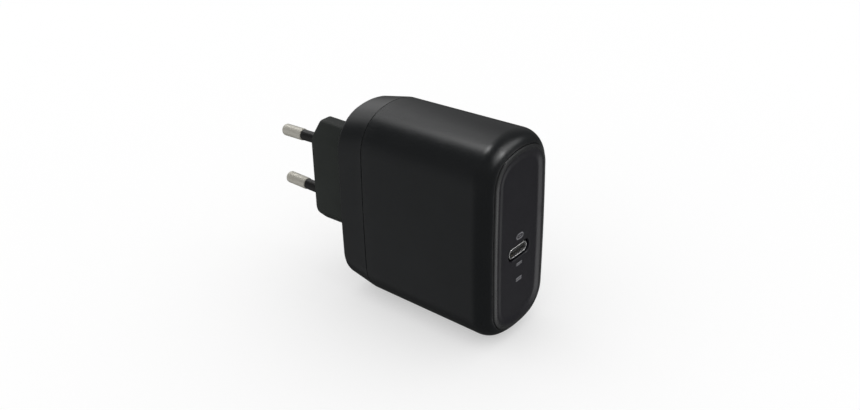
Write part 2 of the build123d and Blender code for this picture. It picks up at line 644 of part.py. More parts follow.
# ---- heat path on the far side from the board -------------------------------------
with BuildPart() as heat_spreader:
    spreader_front = USB_BOARD_DEPTH - SPREADER_FRONT_GAP
    with BuildSketch(Plane.YZ.offset(SPREADER_X)):
        with Locations((-(spreader_front - SPREADER_L / 2), -CASE_DROP)):
            RectangleRounded(SPREADER_L, SPREADER_H, BOARD_CORNER_R)
    extrude(amount=SPREADER_T)
finish(heat_spreader, "heat_spreader")

with BuildPart() as thermal_pad:
    with BuildSketch(Plane.YZ.offset(SPREADER_X + SPREADER_T)):
        with Locations((-CORE_DEPTH, -CASE_DROP - SPREADER_H / 4)):
            Rectangle(CORE_L, SPREADER_H / 2)
    extrude(amount=PAD_T)
finish(thermal_pad, "thermal_pad")
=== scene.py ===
"""A small black wall charger on a pale table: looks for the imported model.

Lengths in this file are millimetres until a mesh is made, and metres in the
scene. "Depth" is measured from the face that meets the wall socket towards the
port, so a point at depth d has y = -d.
"""
import json
import math

import bmesh
import bpy
import numpy as np
from mathutils import Matrix, Vector

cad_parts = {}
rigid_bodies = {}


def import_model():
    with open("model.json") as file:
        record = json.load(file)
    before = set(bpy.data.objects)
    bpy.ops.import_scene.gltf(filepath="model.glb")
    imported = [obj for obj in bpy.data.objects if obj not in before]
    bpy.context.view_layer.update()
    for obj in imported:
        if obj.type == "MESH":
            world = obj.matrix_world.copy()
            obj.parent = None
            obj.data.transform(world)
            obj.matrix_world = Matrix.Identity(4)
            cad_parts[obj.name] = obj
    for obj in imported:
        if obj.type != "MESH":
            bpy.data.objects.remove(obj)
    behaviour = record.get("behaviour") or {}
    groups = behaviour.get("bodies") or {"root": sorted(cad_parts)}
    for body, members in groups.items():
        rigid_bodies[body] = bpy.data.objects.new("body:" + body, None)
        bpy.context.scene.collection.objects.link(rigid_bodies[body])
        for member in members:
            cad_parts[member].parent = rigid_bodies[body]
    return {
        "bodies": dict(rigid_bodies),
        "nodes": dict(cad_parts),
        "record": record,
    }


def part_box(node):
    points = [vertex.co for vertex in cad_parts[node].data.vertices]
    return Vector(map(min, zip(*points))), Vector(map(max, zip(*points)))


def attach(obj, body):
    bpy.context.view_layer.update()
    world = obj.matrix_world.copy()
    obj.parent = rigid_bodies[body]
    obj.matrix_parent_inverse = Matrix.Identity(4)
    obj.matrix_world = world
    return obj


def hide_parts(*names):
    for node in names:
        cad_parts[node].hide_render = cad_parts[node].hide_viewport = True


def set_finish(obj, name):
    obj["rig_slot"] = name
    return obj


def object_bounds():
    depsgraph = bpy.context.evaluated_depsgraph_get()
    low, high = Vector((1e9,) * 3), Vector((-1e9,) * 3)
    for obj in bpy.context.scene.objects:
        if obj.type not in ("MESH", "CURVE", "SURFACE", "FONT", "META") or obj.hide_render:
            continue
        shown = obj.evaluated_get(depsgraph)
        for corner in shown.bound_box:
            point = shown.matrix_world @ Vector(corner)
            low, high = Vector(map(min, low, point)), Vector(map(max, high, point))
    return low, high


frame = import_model()
CAD_BOX = [list(corner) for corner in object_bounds()]

MM = 0.001
BODY = next(iter(frame["bodies"]))


def node_box(name):
    """Lowest and highest corners of a CAD node, in millimetres."""
    low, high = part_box(name)
    return np.array(low) / MM, np.array(high) / MM


# ---- places read from the frame -------------------------------------------------
panel_low, panel_high = node_box("front_panel")
shell_low, shell_high = node_box("usb_shell")

FRONT = -panel_low[1]                  # front of the panel's rim
POCKET = -panel_high[1]                # floor of the panel's pocket
SEAM = -node_box("main_housing")[1][1]
CASE_DROP = -(panel_low[2] + panel_high[2]) / 2   # the case's middle, below the pins'
PORT_Z = (shell_low[2] + shell_high[2]) / 2
USB_LIP, USB_BACK = -shell_low[1], -shell_high[1]

# ---- the maker's own sizes --------------------------------------------------------
CASE_W, CASE_H = 32.3, 64.6            # across the front, before its edge is rounded
BODY_TAPER_W, BODY_TAPER_H = 0.7, 1.5  # narrowing from the front to the seam
COVER_TAPER_W, COVER_TAPER_H = 0.9, 4.2
COVER_LENGTH = 10.2
REAR = SEAM - COVER_LENGTH
SIDE_R, CORNER_R, CROWN_R = 600.0, 12.2, 26.0
FRONT_R, REAR_EDGE_R = 6.1, 0.8
WALL, REAR_WALL, FRONT_WALL = 2.0, 2.2, 2.0
LIP_T, LIP_L, SHADOW_GAP, SHADOW_DEPTH = 1.0, 2.6, 0.2, 0.5
LIP_GAP = FIT_GAP = 0.1                # clearance round the lip, and in an opening
PANEL_INSET, PANEL_GAP = 3.5, 0.12
RIM_W, RIM_LEAN, DISH_DEPTH, COVE_W = 1.5, 22.0, 0.4, 2.6
DISH_FLOOR = FRONT - DISH_DEPTH
INNER_FRONT, INNER_REAR = POCKET - FRONT_WALL, REAR + REAR_WALL
PORT_CUT_W, PORT_CUT_H, PORT_CUT_EDGE = 10.5, 4.5, 0.35
PLUG_T, PLUG_W = 13.7, 35.3
PLUG_FULL_T_W, PLUG_END_T, PLUG_CORNER_R, PLUG_SIDE_R = 26.1, 4.5, 2.0, 5.0
PLUG_DRAFT, PLUG_EDGE_R, PLUG_WALL, PLUG_BASE_T = 0.2, 0.6, 1.8, 8.0
FLANGE_LEDGE, FLANGE_T = 2.4, 1.8
FLANGE_END = INNER_REAR + FLANGE_T
PIN_PITCH_FACE, PIN_PITCH_TIP, PIN_LENGTH = 18.6, 17.5, 19.0
PIN_TILT = math.asin((PIN_PITCH_FACE - PIN_PITCH_TIP) / 2 / PIN_LENGTH)
PIN_R, PIN_CORE_R, PIN_SEAT_R, PIN_TAIL_R, PIN_TAIL_L = 2.0, 1.4, 2.2, 1.2, 3.4
SLEEVE_L, SLEEVE_R, SLEEVE_SEAT_L = 10.2, 1.8, 3.0
PIN_RECESS_R, PIN_RECESS_T = 2.5, 0.5
PIN_TIP_R = 1.15                       # rounding of a pin's end
USB_SHELL_T = 0.3
MARK_X, MARK_LINE = 0.25, 0.38         # middle of the printed marks, and the sign's line
MARK_RISE, MARK_SEAT = 0.03, 0.005     # print above the dish, and sunk under it
PORT_SIGN_Z, PORT_SIGN_W, PORT_SIGN_H = 0.05, 3.1, 1.5
MARK_BARS = [                          # name, height of its middle, half width, half height
    ("port_sign_bar", PORT_SIGN_Z, 0.75, 0.15),
    ("port_label_bar_upper", -8.83, 1.45, 0.15),
    ("port_label_bar_lower", -9.37, 1.45, 0.15),
    ("lower_label_bar_upper", -13.95, 1.45, 0.22),
    ("lower_label_bar_lower", -14.65, 1.45, 0.22),
]
SOFT_EDGE = 0.14                       # rounding of a moulded edge that looks sharp
INNER_R = 0.4                          # corner inside a shell
FLAT_RUN = 2.0                         # how far a profile runs on over a flat end
WEAR_W = 0.25                          # spread of the rubbing along an edge
HAIR = 0.012                           # keeps the skin inside the CAD shell's facets
MERGE = 1e-5                           # points nearer than this are one
QUARTER = 48                           # steps along a quarter of an outline
SIDE_STEPS, CROWN_STEPS = 10, 8        # of them, on the case's side and on its crown
FLAT_STEPS, TURN_STEPS, SLANT_STEPS, NARROW_STEPS = 10, 12, 8, 10   # and on the plug's runs
SLOT_STEPS = 12                        # and on the straight run of a slot


# ---- outlines: a quarter from (half width, 0) to (0, half height) ------------------
def span(start, end, count, closed=False):
    """Evenly spaced rows from start to end, which may be arrays of one value a row."""
    steps = np.linspace(0.0, 1.0, count, endpoint=closed)
    start, end = np.atleast_1d(start)[:, None], np.atleast_1d(end)[:, None]
    return start + (end - start) * steps


def arc(centre_x, centre_z, radius, start, end, count, closed=False):
    """Points of circular arcs, one row for each centre, with angles in radians."""
    turn = span(start, end, count, closed)
    x = np.atleast_1d(centre_x)[:, None] + np.atleast_1d(radius)[:, None] * np.cos(turn)
    z = np.atleast_1d(centre_z)[:, None] + np.atleast_1d(radius)[:, None] * np.sin(turn)
    return np.stack([x, z], -1)


def straight(start_x, start_z, end_x, end_z, count, closed=False):
    """Points of straight runs, one row for each pair of ends."""
    x = span(start_x, end_x, count, closed)
    z = span(start_z, end_z, count, closed)
    return np.stack(np.broadcast_arrays(x, z), -1)


def whole(quarter):
    """A closed outline from its first quarter, mirrored in both axes."""
    back = quarter[:, ::-1]
    return np.concatenate([
        quarter[:, :-1],
        (back * [-1, 1])[:, :-1],
        -quarter[:, :-1],
        (back * [1, -1])[:, :-1],
    ], 1)


def half_size(depth):
    """Half width and half height of the case where its taper reaches a depth."""
    depth = np.asarray(depth, float)
    body = np.clip((FRONT - depth) / (FRONT - SEAM), 0, 1)
    cover = np.clip((SEAM - depth) / COVER_LENGTH, 0, 1)
    width = CASE_W - BODY_TAPER_W * body - COVER_TAPER_W * cover
    height = CASE_H - BODY_TAPER_H * body - COVER_TAPER_H * cover
    return width / 2, height / 2


def case_outline(depth, inset):
    """Case outlines: side, corner and crown arcs that meet in tangents.

    The corner's centre is SIDE_R - CORNER_R from the side's centre and
    CROWN_R - CORNER_R from the crown's. An inset keeps the centres and
    shortens every radius.
    """
    half_w, half_h = half_size(depth)
    inset = inset + HAIR
    side_x, crown_z = half_w - SIDE_R, half_h - CROWN_R
    reach_side, reach_crown = SIDE_R - CORNER_R, CROWN_R - CORNER_R
    gap = np.hypot(side_x, crown_z)
    along = (reach_side**2 - reach_crown**2 + gap**2) / (2 * gap)
    across = np.sqrt(reach_side**2 - along**2)
    turn = np.arctan2(crown_z, -side_x) + np.arctan2(across, along)
    centre_x = side_x + reach_side * np.cos(turn)
    centre_z = reach_side * np.sin(turn)
    low = np.arctan2(centre_z, centre_x - side_x)
    high = np.arctan2(centre_z - crown_z, centre_x)
    zero = np.zeros_like(low)
    quarter = np.concatenate([
        arc(side_x, zero, SIDE_R - inset, zero, low, SIDE_STEPS),
        arc(centre_x, centre_z, CORNER_R - inset, low, high, QUARTER - SIDE_STEPS - CROWN_STEPS),
        arc(zero, crown_z, CROWN_R - inset, high, zero + math.pi / 2, CROWN_STEPS + 1, True),
    ], 1)
    return whole(quarter)


def plug_outline(grow):
    """Plug outlines: a long hexagon with end flats, its corners rounded, grown outwards."""
    grow = np.atleast_1d(np.asarray(grow, float))
    zero = np.zeros_like(grow)
    bend = math.tan(math.pi / 8)
    first = (PLUG_T / 2 - PLUG_SIDE_R, PLUG_FULL_T_W / 2 - PLUG_SIDE_R * bend)
    second = (PLUG_END_T / 2 - PLUG_CORNER_R * bend, PLUG_W / 2 - PLUG_CORNER_R)
    wide, tight = PLUG_SIDE_R + grow, PLUG_CORNER_R + grow
    slope = math.sqrt(0.5)
    eighth = math.pi / 4
    quarter = np.concatenate([
        straight(PLUG_T / 2 + grow, zero, PLUG_T / 2 + grow, zero + first[1], FLAT_STEPS),
        arc(zero + first[0], zero + first[1], wide, zero, zero + eighth, TURN_STEPS),
        straight(first[0] + wide * slope, first[1] + wide * slope,
                 second[0] + tight * slope, second[1] + tight * slope, SLANT_STEPS),
        arc(zero + second[0], zero + second[1], tight, zero + eighth, zero + 2 * eighth,
            NARROW_STEPS),
        straight(zero + second[0], PLUG_W / 2 + grow, zero, PLUG_W / 2 + grow,
                 QUARTER + 1 - FLAT_STEPS - TURN_STEPS - SLANT_STEPS - NARROW_STEPS, True),
    ], 1)
    return whole(quarter)


def slot_outline(half_w, half_h):
    """Outlines of a slot with full round ends."""
    half_w, half_h = np.broadcast_arrays(np.atleast_1d(half_w), np.atleast_1d(half_h))
    zero = np.zeros(half_w.shape)
    quarter = np.concatenate([
        arc(half_w - half_h, zero, half_h, zero, zero + math.pi / 2, QUARTER - SLOT_STEPS),
        straight(half_w - half_h, half_h, zero, half_h, SLOT_STEPS + 1, True),
    ], 1)
    return whole(quarter)


def rings(outline, depth, centre_z=0.0):
    """Outlines set across the case at their depths, as rows of points."""
    depth = np.atleast_1d(np.asarray(depth, float))[:, None]
    x, z = outline[..., 0], outline[..., 1] + centre_z
    return np.stack(np.broadcast_arrays(x, -depth, z), -1)


def case_rings(profile):
    """Case outlines along a profile of (depth, inset) rows."""
    depth, inset = profile.T
    return rings(case_outline(depth, inset), depth, -CASE_DROP)


def slot_rings(rows):
    """Slot outlines round the port along rows of (depth, half width, half height)."""
    rows = np.asarray(rows, float)
    return rings(slot_outline(rows[:, 1], rows[:, 2]), rows[:, 0], PORT_Z)


# ---- profiles ---------------------------------------------------------------------
def softened(corners, steps=5):
    """A polyline whose corners are rounded: rows of (a, b, radius of that corner).

    Each corner with a radius becomes an arc tangent to its two runs, worked out
    from the half angle between them. The ends are kept as they are.
    """
    corners = np.asarray(corners, float)
    path = [corners[0, :2]]
    for before, here, after in zip(corners[:-2], corners[1:-1], corners[2:]):
        point, radius = here[:2], here[2]
        into = before[:2] - point
        out = after[:2] - point
        into_l, out_l = np.hypot(*into), np.hypot(*out)
        into, out = into / into_l, out / out_l
        half = math.acos(np.clip(into @ out, -1, 1)) / 2
        if radius <= 0 or half > math.pi / 2 - 1e-3:
            path.append(point)
            continue
        reach = min(radius / math.tan(half), 0.48 * into_l, 0.48 * out_l)
        radius = reach * math.tan(half)
        middle = (into + out) / np.hypot(*(into + out))
        centre = point + middle * radius / math.sin(half)
        start, end = point + into * reach - centre, point + out * reach - centre
        sweep = math.atan2(start[0] * end[1] - start[1] * end[0], start @ end)
        for t in np.linspace(0, sweep, steps):
            turn = np.array([[math.cos(t), -math.sin(t)], [math.sin(t), math.cos(t)]])
            path.append(centre + turn @ start)
    path.append(corners[-1, :2])
    return np.array(path)


def divided(path, longest, fringe=0.12):
    """The same polyline with its long runs cut up: equal steps, and a short one at each end."""
    rows = [path[:1]]
    for start, end in zip(path[:-1], path[1:]):
        length = np.hypot(*(end - start))
        shares = np.array([1.0])
        if length > 4 * fringe:
            near = fringe / length
            steps = max(2, int(math.ceil(length / longest)) + 1)
            shares = np.concatenate([np.linspace(near, 1 - near, steps), [1.0]])
        rows.append(start + (end - start) * shares[:, None])
    return np.concatenate(rows)


# ---- meshes --------------------------------------------------------------------------
def patch_quads(rows, columns, wrap_rows, wrap_columns):
    """Corner numbers of the quads of a grid; a wrapped direction also joins its last to its first."""
    row = np.arange(rows if wrap_rows else rows - 1)[:, None]
    column = np.arange(columns if wrap_columns else columns - 1)[None, :]
    after, right = (row + 1) % rows, (column + 1) % columns
    corners = (
        row * columns + column,
        row * columns + right,
        after * columns + right,
        after * columns + column,
    )
    return np.stack(np.broadcast_arrays(*corners), -1).reshape(-1, 4)


def make_piece(name, patches, slot, replaces=(), edge=None):
    """A closed piece sewn from grids of points, in millimetres.

    patches lists (grid, wrap_rows, wrap_columns), each grid with its rows of
    points. Equal points are merged, a quad that folds to a line is dropped,
    and one that folds to a corner becomes a triangle. edge, one number for
    each row of each patch, becomes the attribute that tells where wear shows.
    """
    points, quads, worn, start = [], [], [], 0
    for number, (grid, wrap_rows, wrap_columns) in enumerate(patches):
        rows, columns = grid.shape[:2]
        points.append(grid.reshape(-1, 3))
        quads.append(patch_quads(rows, columns, wrap_rows, wrap_columns) + start)
        share = np.zeros(rows) if edge is None else np.asarray(edge[number], float)
        worn.append(np.repeat(share, columns))
        start += rows * columns
    points, quads, worn = np.concatenate(points), np.concatenate(quads), np.concatenate(worn)
    keys = np.round(points / MERGE).astype(np.int64)
    first, merged = np.unique(keys, axis=0, return_index=True, return_inverse=True)[1:]
    points, worn = points[first], worn[first]
    quads = merged.reshape(-1)[quads]
    same = quads == np.roll(quads, -1, 1)
    full = quads[~same.any(1)]
    folded, fold = quads[same.sum(1) == 1], same[same.sum(1) == 1].argmax(1)
    keep = (fold[:, None] + np.arange(1, 4)[None, :]) % 4
    thirds = np.take_along_axis(folded, keep, 1)
    mesh = bpy.data.meshes.new(name)
    mesh.from_pydata((points * MM).tolist(), [], full.tolist() + thirds.tolist())
    shape = bmesh.new()
    shape.from_mesh(mesh)
    bmesh.ops.recalc_face_normals(shape, faces=shape.faces)
    shape.to_mesh(mesh)
    shape.free()
    mesh.polygons.foreach_set("use_smooth", np.ones(len(mesh.polygons), bool))
    layer = mesh.attributes.new("edge", "FLOAT", "POINT")
    layer.data.foreach_set("value", worn.astype(np.float32))
    mesh.update()
    piece = bpy.data.objects.new(name, mesh)
    bpy.context.scene.collection.objects.link(piece)
    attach(piece, BODY)
    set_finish(piece, slot)
    if replaces:
        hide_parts(*replaces)
    return piece


def blended(first, last, count):
    """Rows of points that pass in even steps from one ring to another."""
    share = np.linspace(0, 1, count)[:, None, None]
    return first[None] * (1 - share) + last[None] * share


def eased(first, last, fringe=0.16, count=5):
    """Rows between two rings on one flat face, with a close row beside each ring."""
    reach = np.linalg.norm(last - first, axis=-1).mean()
    near = min(0.3, fringe / max(reach, 1e-6))
    shares = np.concatenate([[0, near], np.linspace(near, 1 - near, count)[1:-1], [1 - near, 1]])
    shares = shares[:, None, None]
    return first[None] * (1 - shares) + last[None] * shares


def case_path(corners, longest=4.0):
    """Case rings along (depth, inset, corner radius) rows, rounded, with rows by each bend."""
    return case_rings(divided(softened(corners), longest))


def graded(start, end, steps, power):
    """Numbers from start to end, closer together at the start where power is above 1."""
    return start + (end - start) * np.linspace(0, 1, steps) ** power


def turned(profile, side, columns=56):
    """A profile of (distance out from the socket face, radius) turned about a pin's axis.

    side is 1 for the upper pin and -1 for the lower. A point is the axis point
    plus radius times (cos a across, sin a up the tilted section).
    """
    profile = np.asarray(profile, float)
    out, radius = profile[:, 0, None], profile[:, 1, None]
    turn = np.linspace(0, 2 * math.pi, columns, endpoint=False)[None, :]
    lean, drop = math.cos(PIN_TILT), side * math.sin(PIN_TILT)
    x = radius * np.cos(turn) + 0 * out
    up = radius * np.sin(turn)
    y = out * lean + up * drop
    z = side * PIN_PITCH_FACE / 2 - out * drop + up * lean
    return np.stack([x, y, z], -1)


# ---- pieces ----------------------------------------------------------------------------
def front_rounding(inset_end, steps=22):
    """Rows of (depth, inset) round the front edge: a quarter circle of FRONT_R, cut short."""
    end = math.acos(1 - inset_end / FRONT_R)
    turn = np.linspace(0, end, steps)
    return np.stack([
        FRONT - FRONT_R * (1 - np.sin(turn)),
        FRONT_R * (1 - np.cos(turn)),
    ], -1)


def rubbed_near(depth, place, spread=WEAR_W):
    """Wear that falls away from an edge at a depth, as a bell curve of that spread."""
    return np.exp(-((depth - place) / spread) ** 2)


def make_main_housing():
    """Deep shell: outer skin, front rounding, panel pocket, port window, inner skin, lip step."""
    curve = front_rounding(PANEL_INSET)
    recess = WALL - LIP_T - LIP_GAP
    pocket_r, ledge = 0.05, 2.2
    outside = np.concatenate([
        [(SEAM, recess, 0), (SEAM, 0, SOFT_EDGE)],
        np.c_[curve, np.zeros(len(curve))][:-1],
        [(*curve[-1], SOFT_EDGE), (POCKET, PANEL_INSET, pocket_r),
         (POCKET, PANEL_INSET + ledge, 0)],
    ])
    outer = case_path(outside)
    window_w, window_h = (shell_high - shell_low)[[0, 2]] / 2 + FIT_GAP
    window = slot_rings([
        (POCKET, window_w, window_h), (INNER_FRONT, window_w, window_h),
    ])
    inside = case_path([
        (INNER_FRONT, WALL + FLAT_RUN, 0), (INNER_FRONT, WALL, INNER_R),
        (SEAM + LIP_L + LIP_GAP, WALL, 0), (SEAM + LIP_L + LIP_GAP, recess, 0),
        (SEAM, recess, 0),
    ])
    floor = blended(outer[-1], window[0], 6)
    ceiling = blended(window[-1], inside[0], 6)
    grid = np.concatenate([outer, floor[1:], window[1:], ceiling[1:], inside[1:-1]])
    edge = np.zeros(len(grid))
    depth = -outer[:, 0, 1]
    edge[: len(outer)] = rubbed_near(depth, SEAM)
    edge[:2] = 0
    edge[: len(outer)] += rubbed_near(depth, curve[-1, 0], 0.8 * WEAR_W)
    return make_piece(
        "housing_shell", [(grid, True, True)], "case_plastic", ["main_housing"], [edge]
    )


def make_rear_cover():
    """Shallow cap: skin with a shadow groove by the seam, lip, inner skin, plug opening."""
    groove, lip_r, rear_run = SEAM - SHADOW_GAP, 0.1, 3.0
    outer = case_path([
        (SEAM + LIP_L, WALL, 0), (SEAM + LIP_L, WALL - LIP_T, lip_r),
        (SEAM, WALL - LIP_T, 0), (SEAM, SHADOW_DEPTH, 0), (groove, SHADOW_DEPTH, 0),
        (groove, 0, SOFT_EDGE * 0.9), (REAR, 0, REAR_EDGE_R), (REAR, rear_run, 0),
    ], 2.5)
    inner = case_path([
        (INNER_REAR, WALL + FLAT_RUN, 0), (INNER_REAR, WALL, INNER_R), (SEAM + LIP_L, WALL, 0),
    ])
    opening = rings(plug_outline([FIT_GAP - PLUG_DRAFT] * 2), [REAR, INNER_REAR])
    back = blended(outer[-1], opening[0], 6)
    front = blended(opening[-1], inner[0], 5)
    grid = np.concatenate([outer, back[1:], opening[1:], front[1:], inner[1:-1]])
    edge = np.zeros(len(grid))
    edge[: len(outer)] = rubbed_near(-outer[:, 0, 1], groove)
    return make_piece("cover_shell", [(grid, True, True)], "case_plastic", ["rear_cover"], [edge])


def make_front_panel():
    """Panel plate: side, rim that carries the case's rounding on, cove, flat dish, port cut."""
    inset, cove_power, back_r, rim_r = PANEL_INSET + PANEL_GAP, 0.85, 0.1, 0.13
    crest = inset + RIM_W
    lean = np.radians(np.linspace(RIM_LEAN, 0, 9))
    bow = RIM_W / math.sin(math.radians(RIM_LEAN))
    rim = np.stack([FRONT - bow * (1 - np.cos(lean)), crest - bow * np.sin(lean)], -1)
    fall = np.linspace(0, 1, 12)[1:]
    cove = np.stack([
        FRONT - DISH_DEPTH * (0.5 - 0.5 * np.cos(math.pi * fall)) ** cove_power,
        crest + COVE_W * fall,
    ], -1)
    profile = np.concatenate([
        [(POCKET, inset + FLAT_RUN, 0), (POCKET, inset, back_r), (*rim[0], rim_r)],
        np.c_[rim, np.zeros(len(rim))][1:],
        np.c_[cove, np.zeros(len(cove))],
    ])
    outer = case_path(profile, 1.0)
    half_w, half_h = PORT_CUT_W / 2, PORT_CUT_H / 2
    turn = np.linspace(0, math.pi / 2, 6)
    depths = DISH_FLOOR - PORT_CUT_EDGE * (1 - np.cos(turn))
    grow = PORT_CUT_EDGE * (1 - np.sin(turn))
    cut = slot_rings(np.concatenate([
        np.stack([depths, half_w + grow, half_h + grow], -1),
        [(POCKET + 0.5, half_w, half_h), (POCKET, half_w, half_h)],
    ]))
    dish = eased(outer[-1], cut[0], 0.3, 7)
    back = blended(cut[-1], outer[0], 5)
    grid = np.concatenate([outer, dish[1:], cut[1:], back[1:-1]])
    edge = np.zeros(len(grid))
    reach = divided(softened(profile), 1.0)
    edge[: len(outer)] = np.clip((crest + 0.2 - reach[:, 1]) / 0.6, 0, 1)
    return make_piece("panel_plate", [(grid, True, True)], "panel_plastic", ["front_panel"], [edge])


def half_face(ring, side, centre_z, radius):
    """One half of the plug's socket face, between its outline and the round recess.

    The half outline is the ring's points on that side, closed along z = 0.
    Each of its points is joined to the point of the recess circle in the
    same direction from the pin.
    """
    middle = ring.shape[0] // 2
    half = ring[: middle + 1] if side > 0 else np.concatenate([ring[middle:], ring[:1]])
    chord = blended(half[-1:], half[:1], 17)[1:-1, 0]
    loop = np.concatenate([half, chord])
    aim = loop[:, [0, 2]] - [0, centre_z]
    aim = aim / np.linalg.norm(aim, axis=1, keepdims=True)
    flat = loop[:, 1]
    circle = np.stack([aim[:, 0] * radius, flat, centre_z + aim[:, 1] * radius], -1)
    deep = circle - [0, PIN_RECESS_T, 0]
    hub = np.stack([0 * flat, flat - PIN_RECESS_T, centre_z + 0 * flat], -1)
    return np.concatenate([
        eased(loop, circle, 0.2, 5), deep[None], blended(deep, hub, 4)[1:],
    ])


def make_plug_body():
    """Plug block: drafted hexagon, rounded socket face with two recesses, hollow, flanged."""
    turn = np.linspace(0, math.pi / 2, 7)[::-1]
    nose_depth, nose_grow = PLUG_EDGE_R * (1 - np.sin(turn)), PLUG_EDGE_R * (np.cos(turn) - 1)
    length = FLANGE_END - FLANGE_T
    along = graded(PLUG_EDGE_R, length, 9, 1.4)[1:]
    depths = np.concatenate([nose_depth, along])
    draft = np.clip(depths / length, 0, 1) * PLUG_DRAFT
    skin = rings(plug_outline(np.concatenate([nose_grow, 0 * along]) - draft), depths)
    flange = rings(
        plug_outline([FLANGE_LEDGE - PLUG_DRAFT] * 2 + [-PLUG_WALL] * 2),
        [length, FLANGE_END, FLANGE_END, PLUG_BASE_T],
    )
    hub = np.zeros_like(flange[-1]) + [0, -PLUG_BASE_T, 0]
    inside = blended(flange[-1], hub, 5)
    shell = np.concatenate([skin, flange, inside[1:]])
    nose_row, nose_spread = 4, 2.5     # counted in rows, since the nose's rows lie close
    patches = [(shell, False, True)]
    worn = [rubbed_near(np.arange(len(shell)), nose_row, nose_spread)]
    for side in (1, -1):
        half = half_face(skin[0], side, side * PIN_PITCH_FACE / 2, PIN_RECESS_R)
        patches.append((half, False, True))
        worn.append(np.zeros(len(half)))
    return make_piece("plug_block", patches, "plug_plastic", ["plug_body"], worn)


def make_pins():
    """Two tilted pins turned about their own axes, and the sleeves over their inner halves."""
    tip = np.linspace(0, math.pi / 2, 12)
    nose = np.stack([
        PIN_LENGTH - PIN_TIP_R * (1 - np.cos(tip)), PIN_R - PIN_TIP_R * (1 - np.sin(tip)),
    ], -1)
    step, sleeve_end, film = 1.6, SLEEVE_L - 0.02, 0.005
    for name, side in (("upper", 1), ("lower", -1)):
        corners = [
            (-PLUG_BASE_T - PIN_TAIL_L, 0, 0), (-PLUG_BASE_T - PIN_TAIL_L, PIN_TAIL_R, 0.2),
            (-PLUG_BASE_T, PIN_TAIL_R, 0), (-PLUG_BASE_T, PIN_SEAT_R, 0.1),
            (-SLEEVE_SEAT_L, PIN_SEAT_R, 0.1), (-SLEEVE_SEAT_L, PIN_CORE_R, 0),
            (SLEEVE_L, PIN_CORE_R, 0), (SLEEVE_L, PIN_R, 0.16), (nose[-1, 0], PIN_R, 0),
        ]
        profile = divided(softened(corners), step)
        profile = np.concatenate([profile, nose[::-1][1:], [(PIN_LENGTH, 0)]])
        make_piece(
            f"{name}_contact_pin", [(turned(profile, side), False, True)], "pin_metal",
            [f"{name}_pin"],
        )
        inner = PIN_CORE_R + film
        sleeve = softened([
            (0, inner, 0), (sleeve_end, inner, 0), (sleeve_end, SLEEVE_R, 0.16),
            (-SLEEVE_SEAT_L, SLEEVE_R, 0), (-SLEEVE_SEAT_L, inner, 0), (-0.1, inner, 0),
        ])
        make_piece(
            f"{name}_insulating_sleeve", [(turned(divided(sleeve, step), side), True, True)],
            "sleeve_plastic", [f"{name}_pin_sleeve"],
        )


def make_usb_shell():
    """Drawn steel mouth of the port: a slot-shaped cup with a rolled lip."""
    half_w, half_h = (shell_high - shell_low)[[0, 2]] / 2
    back, wall, run = USB_BACK + USB_SHELL_T, USB_SHELL_T, 1.2
    path = divided(softened([
        (back, run, 0), (back, wall, 0.25), (USB_LIP, wall, 0.14),
        (USB_LIP, 0, 0.15), (USB_BACK, 0, 0.3), (USB_BACK, run, 0),
    ]), 1.5)
    grid = slot_rings(np.stack([path[:, 0], half_w - path[:, 1], half_h - path[:, 1]], -1))
    return make_piece("port_shell", [(capped(grid), False, True)], "usb_steel", ["usb_shell"])


def capped(grid):
    """The same rings, with the first and the last closed at their middle points."""
    middle = grid.mean(1, keepdims=True) + 0 * grid
    return np.concatenate([middle[:1], grid, middle[-1:]])


def bar_rings(centre_z, half_w, half_h):
    """Rings of a flat printed bar with round ends: up its side, and in to its middle line."""
    rows = np.array([
        (0, 0), (MARK_RISE, 0), (MARK_RISE, 0.5 * half_h), (MARK_RISE, half_h - 0.001),
    ])
    outline = slot_outline(half_w - rows[:, 1], half_h - rows[:, 1])
    return rings(outline, DISH_FLOOR - MARK_SEAT + rows[:, 0], centre_z) + [MARK_X, 0, 0]


def make_marks():
    """Pale printed signs round the port: a slot sign, and two pairs of short bars."""
    pieces = []
    for label, centre_z, half_w, half_h in MARK_BARS:
        grid = capped(bar_rings(centre_z, half_w, half_h))
        pieces.append(make_piece(label, [(grid, False, True)], "barrier_film"))
    low, high = DISH_FLOOR - MARK_SEAT, DISH_FLOOR - MARK_SEAT + MARK_RISE
    grow = np.array([1, 1, -1, -1]) * MARK_LINE / 2
    outline = slot_outline(PORT_SIGN_W / 2 + grow, PORT_SIGN_H / 2 + grow)
    grid = rings(outline, [low, high, high, low], PORT_SIGN_Z) + [MARK_X, 0, 0]
    pieces.append(make_piece("port_sign_ring", [(grid, True, True)], "barrier_film"))
    return pieces


make_main_housing()
make_rear_cover()
make_front_panel()
make_plug_body()
make_pins()
make_usb_shell()
marks = make_marks()


# ---- camera -------------------------------------------------------------------------
SENSOR, LENS = 36.0, 42.468
VIEW_TURN, VIEW_RISE, VIEW_ROLL = (math.radians(v) for v in (-50.881, 27.972, -1.025))
VIEW_FROM = Vector((-211.484, -214.707, 144.434)) * MM
back = Vector((
    math.sin(VIEW_TURN) * math.cos(VIEW_RISE),
    -math.cos(VIEW_TURN) * math.cos(VIEW_RISE),
    math.sin(VIEW_RISE),
))
level = Vector((0, 0, 1)).cross(back).normalized()
across = level * math.cos(VIEW_ROLL) + back.cross(level) * math.sin(VIEW_ROLL)
upward = back.cross(across)
camera_data = bpy.data.cameras.new("view")
camera_data.sensor_width, camera_data.lens = SENSOR, LENS
camera_data.sensor_fit = "HORIZONTAL"
camera_data.clip_start, camera_data.clip_end = 0.01, 40.0
camera = bpy.data.objects.new("view", camera_data)
camera.matrix_world = Matrix((across, upward, back)).transposed().to_4x4()
camera.location = VIEW_FROM
bpy.context.scene.collection.objects.link(camera)
bpy.context.scene.camera = camera


